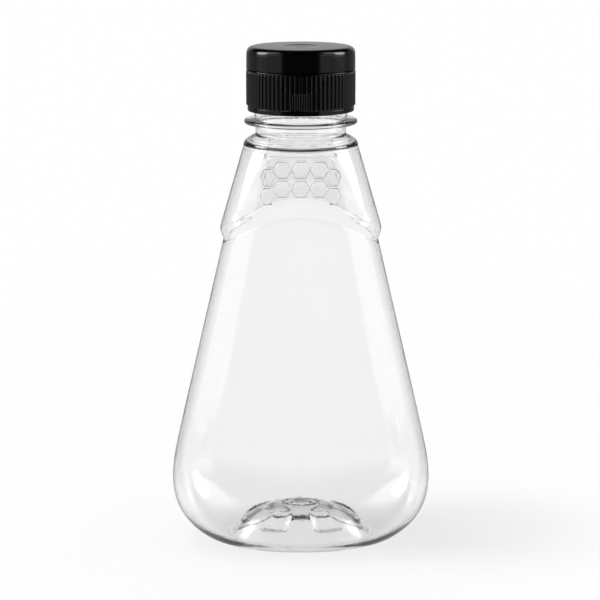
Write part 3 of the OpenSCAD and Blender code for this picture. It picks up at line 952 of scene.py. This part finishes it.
strap = make_hinge()
paint(strap, black)
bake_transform(strap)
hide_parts("living_hinge")

paint(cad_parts["liner_disc"], foil(surface_group))
paint(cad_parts["slit_valve"], silicone(surface_group))
paint(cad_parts["valve_retainer"], black)


# ---------------------------------------------------------------- studio
def reflected_ray(nt):
    """1 for a ray mirrored off a surface, 0 for one seen directly, through the bottle or as light."""
    path = nt.nodes.new("ShaderNodeLightPath")
    less = nt.nodes.new("ShaderNodeMath")
    less.operation = "SUBTRACT"
    less.use_clamp = True
    nt.links.new(path.outputs["Is Glossy Ray"], less.inputs[0])
    nt.links.new(path.outputs["Is Transmission Ray"], less.inputs[1])
    return less.outputs[0]


def add_around(nt, place, stops):
    """A value round the horizon, by the Y part of the level direction to a place."""
    level = add_vector(nt, "NORMALIZE", add_vector(nt, "MULTIPLY", place, (1, 1, 0)))
    return add_steps(nt, add_vector(nt, "DOT_PRODUCT", level, (0, 1, 0)), stops)


def add_shader_mix(nt, factor, a, b):
    node = nt.nodes.new("ShaderNodeMixShader")
    for socket, value in zip(node.inputs, (factor, a, b)):
        nt.links.new(value, socket)
    return node.outputs[0]


def make_floor():
    """A wide white sheet. In a mirrored ray it shows a painted reflection instead: an emission as dark or
    bright as FLOOR_AROUND says, as a small table in a dark room would look."""
    mesh = bpy.data.meshes.new("floor")
    corners = [(FLOOR_HALF * x, FLOOR_HALF * y, 0) for x, y in ((-1, -1), (1, -1), (1, 1), (-1, 1))]
    mesh.from_pydata(corners, [], [(0, 1, 2, 3)])
    floor = bpy.data.objects.new("floor", mesh)
    bpy.context.scene.collection.objects.link(floor)
    mat, nt, shader, out = new_material("white_sweep")
    shader.inputs["Base Color"].default_value = FLOOR_WHITE
    shader.inputs["Roughness"].default_value = 1.0
    shader.inputs["Specular IOR Level"].default_value = 0.0
    # Painted reflection: for mirrored rays the floor glows with this emission in place of its lit white
    dark = nt.nodes.new("ShaderNodeEmission")
    mirrored = add_around(nt, nt.nodes.new("ShaderNodeTexCoord").outputs["Object"], FLOOR_AROUND)
    nt.links.new(mirrored, dark.inputs["Strength"])
    both = add_shader_mix(nt, reflected_ray(nt), shader.outputs[0], dark.outputs[0])
    nt.links.new(both, out.inputs["Surface"])
    floor.data.materials.append(mat)


def add_background(nt, colour=None, strength=None):
    node = nt.nodes.new("ShaderNodeBackground")
    if colour is not None:
        node.inputs["Color"].default_value = colour
    if strength is not None:
        nt.links.new(strength, node.inputs["Strength"])
    return node.outputs[0]


def make_world():
    """White for what is seen directly and an even fill for diffuse rays. Mirrored and bent rays see a dark
    card in front, bright walls at the sides, dimmer ones towards the back, a dark ceiling and two soft
    lamps on each side. Rays that leave through the bottle also see a light horizon."""
    world = bpy.data.worlds.new("studio")
    bpy.context.scene.world = world
    world.use_nodes = True
    world.cycles.sampling_method = "NONE"
    nt = world.node_tree
    nt.nodes.clear()
    out = nt.nodes.new("ShaderNodeOutputWorld")
    path = nt.nodes.new("ShaderNodeLightPath")
    way = nt.nodes.new("ShaderNodeTexCoord").outputs["Generated"]
    up = add_vector(nt, "DOT_PRODUCT", way, (0, 0, 1))
    ceiling = add_steps(nt, up, ((WALL_TOP - WALL_FADE, 1.0), (WALL_TOP + WALL_FADE, CEILING_LIGHT)))
    walls = add_math(nt, "MULTIPLY", add_around(nt, way, AROUND), ceiling)
    horizon = add_steps(nt, up, ((0.0, HORIZON_LIGHT), (HORIZON_TOP, 0.0)))
    through = add_math(nt, "MULTIPLY", horizon, path.outputs["Is Transmission Ray"])
    light = add_math(nt, "ADD", walls, through)
    for place, edge, core, strength in LAMPS:
        size = math.sqrt(sum(c * c for c in place))
        near = add_vector(nt, "DOT_PRODUCT", way, tuple(c / size for c in place))
        light = add_math(nt, "ADD", light, add_steps(nt, near, ((edge, 0.0), (core, strength))))
    room = add_background(nt, strength=light)
    seen = add_shader_mix(nt, path.outputs["Is Camera Ray"], room, add_background(nt, WORLD_WHITE))
    lit = add_shader_mix(nt, path.outputs["Is Diffuse Ray"], seen, add_background(nt, FILL_WHITE))
    nt.links.new(lit, out.inputs["Surface"])


def add_sun():
    """A broad soft sun from high on the left, for the even floor and the shadow to the right."""
    data = bpy.data.lights.new("key", "SUN")
    data.energy = SUN_ENERGY
    data.angle = SUN_ANGLE
    key = bpy.data.objects.new("key", data)
    bpy.context.scene.collection.objects.link(key)
    key.rotation_euler = SUN_TURN
    key.visible_glossy = False
    key.visible_transmission = False


def make_camera():
    """Camera in front, 0.76 m off and 0.263 m up, looking 12.5 degrees down through a 122 mm lens."""
    data = bpy.data.cameras.new("camera")
    data.lens = CAMERA_LENS
    data.sensor_width = 36.0
    data.clip_end = 100
    data.shift_x = CAMERA_SHIFT
    camera = bpy.data.objects.new("camera", data)
    bpy.context.scene.collection.objects.link(camera)
    camera.location = CAMERA_PLACE
    camera.rotation_euler = (math.radians(90) - CAMERA_DOWN, 0, 0)
    bpy.context.scene.camera = camera


make_floor()
make_world()
add_sun()
make_camera()
bpy.context.scene.view_settings.view_transform = "Standard"
